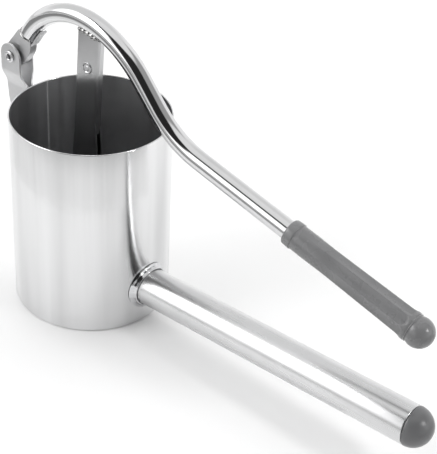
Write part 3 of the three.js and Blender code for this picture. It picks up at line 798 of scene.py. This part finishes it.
def hanger():
    """The folded strap below the lever, its beads, its rivet and spacer, and the plunger's pin."""
    face, half, sheet = HANGER_FACE, HANGER_HALF, HANGER_SHEET
    section = fillet([(-half, -face), (half, -face, 1.25), (half, face, 1.25), (-half, face),
                      (-half, face - sheet), (half - sheet, face - sheet, 0.35),
                      (half - sheet, sheet - face, 0.35), (-half, sheet - face)],
                     closed=True, steps=6)
    rings = [[(hanger_x(z) + x, y, z) for x, y in section] for z in (WEB_BOTTOM, 161)]
    channel = mesh_of(loft(rings))
    left, right = PIN[0] - EAR_RADIUS, PIN[0] + EAR_RADIUS
    outline = fillet([(hanger_x(108) - half, 108), (hanger_x(106) - half, 106, 20), (left + 1.9, 99, 20),
                      (left + 0.9, 92, 20), (left + 0.2, 85, 20), (left, PIN[1])])
    outline += arc(PIN[0], PIN[1], EAR_RADIUS, 180, 360, 48)[1:]
    outline += fillet([(right, PIN[1]), (right - 0.1, 92, 20), (right - 0.5, 99.5, 5),
                       (hanger_x(103) + half, 104, 2), (hanger_x(106) + half - 1.2, 108)])[1:]
    cuts = [("UNION", plate(outline, -face, sheet - face, edge=0.12)),
            ("UNION", plate(outline, face - sheet, face, edge=0.12)),
            ("DIFFERENCE", mesh_of(loft(lever_tube(25, 85, LEVER_RADIUS + 0.95, 2.0, 96)))),
            ("DIFFERENCE", bore(PIN_HOLE, *PIN)),
            ("DIFFERENCE", bore(HANGER_HOLE, *HANGER_RIVET))]
    bm = carved(channel, cuts, edge=0.08)
    piece("hanger_strap", bm, CHANNEL, "lever", ["hanger_channel"], weighted=True)

    # The beads follow the lever. Their depth is measured from its centreline.
    first, length, steps, depth = 47.2, 16.2, 84, 5.25
    for side, name in ((-1, "near"), (1, "far")):
        stations = []
        for i in range(steps + 1):
            x, z, heading = lever_at(first + length * i / steps)
            x += depth * math.sin(heading)
            z -= depth * math.cos(heading)
            stations.append((x, side * face, z, heading))
        drops = bead(stations, radius=1.35, count=16, seed=31 + side, ripple=0.7, pitch=17)
        piece("hanger_bead_" + name, drops, WELD, "lever", ["hanger_weld_" + name], sharp=80)

    head = face + 0.05
    half_profile = fillet([(0, head + 0.28), (1.0, head + 0.28, 0.15), (1.3, head + 0.08, 0.15),
                           (2.1, head + 0.1, 0.2), (2.5, head + 0.42, 0.2), (2.95, head + 0.4, 0.2),
                           (3.2, head, 0.1), (2.0, head)], steps=4)
    profile = half_profile + [(r, -h) for r, h in reversed(half_profile)]
    piece("strap_rivet", along_y(lathe(profile[::-1], 64), *HANGER_RIVET), RIVET, "lever",
          ["hanger_rivet"])
    reach = face - sheet - 0.2
    profile = fillet([(HANGER_HOLE, -reach, 0.1), (3.4, -reach, 0.2), (3.4, reach, 0.2),
                      (HANGER_HOLE, reach, 0.1)], closed=True)
    piece("strap_spacer", along_y(lathe(profile, 48, closed=True), *HANGER_RIVET), RIVET, "lever",
          ["hanger_spacer"])

    head = YOKE_FACE + 0.25
    half_profile = fillet([(0, head + 1.2), (3.4, head + 1.15, 0.6), (4.9, head + 0.75, 0.5), (5.4, head, 0.1),
                           (2.2, head)], steps=4)
    profile = half_profile + [(r, -h) for r, h in reversed(half_profile)]
    piece("yoke_pin", along_y(lathe(profile[::-1], 64), *PIN), RIVET, "lever", ["plunger_pin"])


# ---------------------------------------------------------------- plunger

def plunger():
    """The strap bent to a U and slotted for the pin, the dished plate, and the rivets between them."""
    face, sheet, base, half, top = YOKE_FACE, YOKE_SHEET, YOKE_BASE, 8.0, PIN[1]
    slot_radius = 4.2
    left, right = -9.2 + slot_radius, 18.5 - slot_radius
    head = slot_radius + 2.6
    section = fillet([(-face, 112), (-face, base, 2.6), (face, base, 2.6), (face, 112),
                      (face - sheet, 112), (face - sheet, base + sheet, 1.4),
                      (sheet - face, base + sheet, 1.4), (sheet - face, 112)],
                     closed=True, steps=8)
    strap = mesh_of(loft([[(x, y, z) for y, z in section] for x in (-14, 24)]))
    outline = fillet([(-half, top - 30), (-half, 9), (half, 9), (half, top - 14, 14),
                      (right + 1, top - head, 3)])
    outline += arc(right, top, head, -85, 90, 36) + arc(left, top, head, 90, 225, 30)
    outline += fillet([(left - 5.2, top - 4.6), (-half, top - 8.5, 3), (-half, top - 20)])[1:-1]
    slot = arc(right, top, slot_radius, -90, 90, 20) + arc(left, top, slot_radius, 90, 270, 20)
    cuts = [("INTERSECT", bar(outline, 8)), ("DIFFERENCE", bar(slot, 8))]
    for name, x in YOKE_RIVETS:
        shape = lathe([(0, base - 2), (1.35, base - 2), (1.35, base + 3), (0, base + 3)], 32)
        cuts.append(("DIFFERENCE", mesh_of(moved(shape, Matrix.Translation((x, 0, 0))))))
    piece("plunger_strap", carved(strap, cuts, edge=0.15), SHADED_SHEET, "plunger",
          ["plunger_yoke"], weighted=True)

    radius, bottom, rim = 40.9, 10.5, 16.5
    profile = fillet([(0, bottom), (radius - 3, bottom, 5), (radius, bottom + 2.2, 3), (radius, rim, 0.3),
                      (radius - sheet, rim, 0.3), (radius - sheet, bottom + 2.8, 2),
                      (radius - 3.6, bottom + sheet, 4), (0, bottom + sheet)], steps=8)
    cuts = []
    for name, x in YOKE_RIVETS:
        shape = lathe([(0, bottom - 1), (2.45, bottom - 1), (2.45, bottom), (1.35, bottom + 1.0),
                       (1.35, bottom + 2), (0, bottom + 2)], 32)
        cuts.append(("DIFFERENCE", mesh_of(moved(shape, Matrix.Translation((x, 0, 0))))))
    dish = carved(mesh_of(lathe(profile, 160)), cuts, edge=0)
    piece("plunger_dish", dish, SHADED_SHEET, "plunger", ["plunger_plate"], sharp=30,
          weighted=True)

    for name, x in YOKE_RIVETS:
        cap = base + sheet + 0.05
        profile = fillet([(0, bottom), (2.25, bottom), (1.2, bottom + 0.95), (1.2, cap), (2.4, cap, 0.1),
                          (2.1, cap + 0.75, 0.5), (0.9, cap + 1.1, 1), (0, cap + 1.15)], steps=4)
        piece("strap_rivet_" + name, moved(lathe(profile, 40), Matrix.Translation((x, 0, 0))), RIVET, "plunger",
              ["yoke_rivet_" + name])


basket()
wall_seam()
disc()
handle()
clevis()
bracket()
lever()
grip()
hanger()
plunger()


# ---------------------------------------------------------------- camera, floor and light

def direction(azimuth, elevation):
    """A unit vector. Azimuth 0 is along the handle, and the camera is near -45."""
    a, e = math.radians(azimuth), math.radians(elevation)
    return Vector((math.cos(a) * math.cos(e), math.sin(a) * math.cos(e), math.sin(e)))


CAMERA_PLACE = AXIS + Vector((0.39486, -0.38806, 0.42468))
CAMERA_LOOK = Vector((-0.50984, 0.64453, -0.56978)).normalized()
CAMERA_ROLL = math.radians(3.63)
CAMERA_LENS, SENSOR = 97.43, 36.0
LAMP_AIM = AXIS + Vector((0.06, 0, 0.08))
FLOOR_HALF = 3.0

# The table in the reflections: metres from the axis, azimuths, and its light near and far.
TABLE_RINGS, TABLE_LIFT = (0.17, 0.3, 0.4, 1.2), 0.0004
TABLE_AZIMUTHS = range(-170, 31, 5)
TABLE_LIGHT, TABLE_FADE = (0.97, 0.30), (0.24, 0.36)

# The light from all round. A panel is its light, its elevations with their softness, the middle of
# the cone that bounds it, and the cone's inner and outer half angles.
TENT_SIDES, TENT_ROOF, ROOF_BAND = 1.06, 0.95, (60, 120, 8)
PANELS = (
    (0.84, (14, 68, 6), (165, 45), (40, 60)),  # the dimmer wall, at the back on the left
    (0.40, (24, 60, 6), (15, 36), (38, 52)),  # the grey wall on the right
    (1.7, (2, 20, 3), (22, 11), (14, 20)),  # a low bright panel on the right
    (0.5, (-9, 6, 2), (-125, 0), (28, 36)),  # the dim strip below the softbox
    (1.9, (8, 46, 3), (-125, 26), (28, 36)),  # the softbox, in front on the left
    (0.06, (46, 61, 3), (-85, 52), (22, 40)),  # the dark gap above it
    (0.025, (0, 63, 4), (-56, 32), (33, 41)),  # the dark room behind the camera
)
DIFFUSE_SHARE, BACKDROP = 0.92, 1.05

level_right = CAMERA_LOOK.cross(Vector((0, 0, 1))).normalized()
level_up = level_right.cross(CAMERA_LOOK)
right = level_right * math.cos(CAMERA_ROLL) + level_up * math.sin(CAMERA_ROLL)
up = right.cross(CAMERA_LOOK)
camera_data = bpy.data.cameras.new("camera")
camera_data.sensor_fit = "VERTICAL"
camera_data.sensor_height = SENSOR
camera_data.lens = CAMERA_LENS
camera_data.clip_start = 0.01
camera = bpy.data.objects.new("camera", camera_data)
bpy.context.collection.objects.link(camera)
turn = Matrix((right, up, -CAMERA_LOOK)).transposed().to_4x4()
camera.matrix_world = Matrix.Translation(CAMERA_PLACE) @ turn
bpy.context.scene.camera = camera


def floor():
    """The flat sheet of white paper that the ricer stands on."""
    mesh = bpy.data.meshes.new("floor")
    corners = [(x * FLOOR_HALF, y * FLOOR_HALF, 0) for x, y in ((-1, -1), (1, -1), (1, 1), (-1, 1))]
    mesh.from_pydata(corners, [], [(0, 1, 2, 3)])
    n = Nodes("floor paper")
    n.set(Base_Color=n.colours(n.noise(6.0, 2.0), (0.93, 0.93, 0.93), (0.95, 0.95, 0.95)), Roughness=0.9)
    mesh.materials.append(n.material)
    obj = bpy.data.objects.new("floor", mesh)
    bpy.context.collection.objects.link(obj)


def table_end():
    """The table in front and at the sides, darker further out. Only reflections see it."""
    bm = bmesh.new()
    rings = []
    for distance in TABLE_RINGS:
        rings.append([bm.verts.new(direction(azimuth, 0) * distance) for azimuth in TABLE_AZIMUTHS])
    for a, b in zip(rings, rings[1:]):
        for j in range(len(a) - 1):
            bm.faces.new((a[j], b[j], b[j + 1], a[j + 1]))
    mesh = bpy.data.meshes.new("table end")
    bm.to_mesh(mesh)
    bm.free()
    n = Nodes("table end")
    length = n.add("ShaderNodeVectorMath", operation="LENGTH")
    n.link(n.coordinates, length.inputs[0])
    n.set(Base_Color=(0, 0, 0, 1), Roughness=1.0, Specular_IOR_Level=0.0, Emission_Color=(1, 1, 1, 1),
          Emission_Strength=n.ramp(length.outputs["Value"], *TABLE_LIGHT, *TABLE_FADE))
    mesh.materials.append(n.material)
    obj = bpy.data.objects.new("table end", mesh)
    obj.location = AXIS + Vector((0, 0, TABLE_LIFT))
    bpy.context.collection.objects.link(obj)
    obj.visible_camera = False
    obj.visible_diffuse = False
    obj.visible_shadow = False
    obj.visible_transmission = False


def world():
    """A white tent with brighter and darker panels, and the dark room that shows behind the camera."""
    scene_world = bpy.data.worlds.new("tent")
    bpy.context.scene.world = scene_world
    scene_world.use_nodes = True
    tree = scene_world.node_tree
    links = tree.links
    background = tree.nodes["Background"]
    way = tree.nodes.new("ShaderNodeTexCoord").outputs["Generated"]

    def feed(socket, source):
        if isinstance(source, float):
            socket.default_value = source
        else:
            links.new(source, socket)

    def spread(axis, inner, outer):
        """1 inside a cone of the inner half angle about an axis, 0 outside the outer one."""
        dot = tree.nodes.new("ShaderNodeVectorMath")
        dot.operation = "DOT_PRODUCT"
        dot.inputs[1].default_value = axis
        links.new(way, dot.inputs[0])
        ramp = tree.nodes.new("ShaderNodeMapRange")
        ramp.interpolation_type = "SMOOTHSTEP"
        ramp.inputs["From Min"].default_value = math.cos(math.radians(outer))
        ramp.inputs["From Max"].default_value = math.cos(math.radians(inner))
        links.new(dot.outputs["Value"], ramp.inputs["Value"])
        return ramp.outputs["Result"]

    def blend(value, new, mask):
        """The value where the mask is 0, the new one where it is 1."""
        mix = tree.nodes.new("ShaderNodeMix")
        mix.data_type = "FLOAT"
        links.new(mask, mix.inputs["Factor"])
        feed(mix.inputs["A"], value)
        feed(mix.inputs["B"], new)
        return mix.outputs["Result"]

    def product(a, b):
        node = tree.nodes.new("ShaderNodeMath")
        node.operation = "MULTIPLY"
        feed(node.inputs[0], a)
        feed(node.inputs[1], b)
        return node.outputs["Value"]

    def band(low, high, soft):
        """1 between two elevations."""
        split = tree.nodes.new("ShaderNodeSeparateXYZ")
        links.new(way, split.inputs[0])
        sides = []
        for edge, sign in ((low, 1), (high, -1)):
            ramp = tree.nodes.new("ShaderNodeMapRange")
            ramp.interpolation_type = "SMOOTHSTEP"
            a, b = math.sin(math.radians(edge - soft)), math.sin(math.radians(edge + soft))
            ramp.inputs["From Min"].default_value = a if sign > 0 else b
            ramp.inputs["From Max"].default_value = b if sign > 0 else a
            links.new(split.outputs["Z"], ramp.inputs["Value"])
            sides.append(ramp.outputs["Result"])
        return product(*sides)

    light = blend(TENT_SIDES, TENT_ROOF, band(*ROOF_BAND))
    for strength, elevations, middle, cone in PANELS:
        light = blend(light, strength, product(band(*elevations), spread(direction(*middle), *cone)))
    rays = tree.nodes.new("ShaderNodeLightPath")
    soft = blend(light, product(light, DIFFUSE_SHARE), rays.outputs["Is Diffuse Ray"])
    seen = blend(soft, BACKDROP, rays.outputs["Is Camera Ray"])
    links.new(seen, background.inputs["Color"])
    background.inputs["Strength"].default_value = 1.0


def lamp(name, azimuth, elevation, distance, size, power, glossy=True):
    """A round lamp, aimed near the ricer's middle."""
    data = bpy.data.lights.new(name, "AREA")
    data.shape = "DISK"
    data.size = size
    data.energy = power
    obj = bpy.data.objects.new(name, data)
    bpy.context.collection.objects.link(obj)
    obj.location = LAMP_AIM + direction(azimuth, elevation) * distance
    look = LAMP_AIM - obj.location
    obj.rotation_euler = look.to_track_quat("-Z", "Y").to_euler()
    obj.visible_glossy = glossy


floor()
table_end()
world()
lamp("key", azimuth=-128, elevation=40, distance=1.0, size=0.45, power=2.6)
lamp("back", azimuth=100, elevation=58, distance=1.2, size=2.2, power=8.0, glossy=False)
lamp("side", azimuth=12, elevation=31, distance=1.2, size=0.2, power=3.0)
bpy.context.scene.view_settings.view_transform = "Standard"
bpy.context.scene.view_settings.look = "None"
